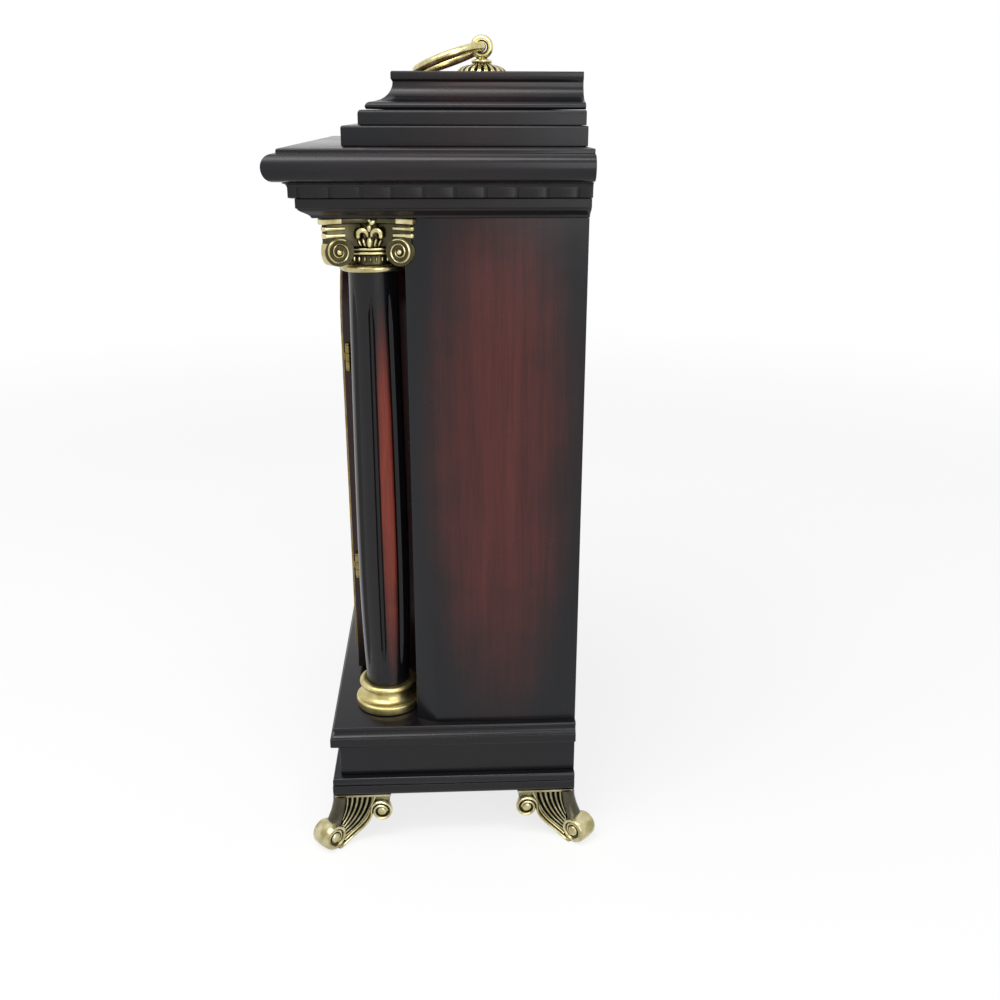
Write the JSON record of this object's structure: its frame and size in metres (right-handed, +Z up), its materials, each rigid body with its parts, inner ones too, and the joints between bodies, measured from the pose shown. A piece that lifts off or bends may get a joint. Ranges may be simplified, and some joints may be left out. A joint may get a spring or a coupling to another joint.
{
  "type": "bracket clock",
  "caption": "Dark mahogany bracket clock with fluted corner columns, cast brass capitals and feet, a stepped top with a ring handle, an arched glazed door and a pendulum.",
  "frame": {"origin": "on the ground plane, at the middle of the clock's width and depth", "axes": "+Z up, the door faces -Y, +X is to the right seen from the front"},
  "size_m": [0.276, 0.1634, 0.4344],
  "materials": {
    "batteryWrap": "printed metal sleeve, unmarked",
    "blackPlastic": "moulded, matt",
    "blackSteel": "black, satin",
    "brass": "antique cast and turned brass",
    "glass": "clear",
    "ivory": "cream enamel, satin",
    "mahogany": "satin dark mahogany",
    "silvered": "silvered dial plate, brushed"
  },
  "bodies": {
    "case": {"base_moulding": "mahogany", "plinth": "mahogany", "base_board": "mahogany", "architrave_moulding": "mahogany", "dentil_moulding": "mahogany", "cornice_board": "mahogany", "lower_step": "mahogany", "upper_step": "mahogany", "cap_moulding": "mahogany", "side_panel_right": "mahogany", "side_panel_left": "mahogany", "front_panel": "mahogany", "arch_surround": "mahogany", "back_panel": "mahogany", "column_shaft_right": "mahogany", "column_ring_right": "brass", "column_capital_right": "brass", "column_shaft_left": "mahogany", "column_ring_left": "brass", "column_capital_left": "brass", "foot_front_right": "brass", "foot_front_left": "brass", "foot_back_right": "brass", "foot_back_left": "brass", "handle_rosette": "brass", "handle_post": "brass", "door_hinge_upper_case_leaf": "brass", "door_hinge_upper_pin": "brass", "door_hinge_lower_case_leaf": "brass", "door_hinge_lower_pin": "brass", "back_hinge_upper_case_leaf": "brass", "back_hinge_upper_pin": "brass", "back_hinge_lower_case_leaf": "brass", "back_hinge_lower_pin": "brass", "dial_plate": "silvered", "chapter_ring": "ivory", "fixing_nut": "brass", "movement_case": "blackPlastic", "battery": "batteryWrap"},
    "door": {"door_frame": "mahogany", "door_glass": "glass", "door_bezel": "brass", "door_knob": "brass", "door_hinge_upper_door_leaf": "brass", "door_hinge_lower_door_leaf": "brass"},
    "back_door": {"back_door": "mahogany", "back_door_knob": "brass", "back_hinge_upper_door_leaf": "brass", "back_hinge_lower_door_leaf": "brass"},
    "ring_handle": {"handle_ring": "brass"},
    "minute_hand": {"minute_hand": "blackSteel", "hand_nut": "brass"},
    "hour_hand": {"hour_hand": "blackSteel"},
    "setting_knob": {"setting_knob": "blackPlastic"},
    "pendulum": {"pendulum_rod": "brass", "pendulum_bob": "brass", "rating_nut": "brass"}
  },
  "joints": [
    {"name": "door_hinge", "type": "hinge", "parent": "case", "child": "door", "pos_m": [0.0586, -0.05335, 0.1777], "axis": [0, 0, 1], "range_deg": [0, 95]},
    {"name": "back_door_hinge", "type": "hinge", "parent": "case", "child": "back_door", "pos_m": [-0.0721, 0.06145, 0.2478], "axis": [0, 0, 1], "range_deg": [0, 110]},
    {"name": "handle_swing", "type": "hinge", "parent": "case", "child": "ring_handle", "pos_m": [0, 0.02205, 0.4281], "axis": [-1, 0, 0], "range_deg": [0, 142.43]},
    {"name": "minute_turn", "type": "hinge", "parent": "case", "child": "minute_hand", "pos_m": [0, -0.03935, 0.2792], "axis": [0, 1, 0], "continuous": true},
    {"name": "hour_turn", "type": "hinge", "parent": "case", "child": "hour_hand", "pos_m": [0, -0.03935, 0.2792], "axis": [0, 1, 0], "continuous": true},
    {"name": "setting_turn", "type": "hinge", "parent": "case", "child": "setting_knob", "pos_m": [0, -0.03935, 0.2792], "axis": [0, 1, 0], "continuous": true},
    {"name": "pendulum_swing", "type": "hinge", "parent": "case", "child": "pendulum", "pos_m": [0, -0.01785, 0.2592], "axis": [0, 1, 0], "range_deg": [-6, 6]}
  ],
  "couplings": [
    {"joint": "hour_turn", "follows": "minute_turn", "ratio": 0.083333},
    {"joint": "setting_turn", "follows": "minute_turn", "ratio": 1}
  ]
}
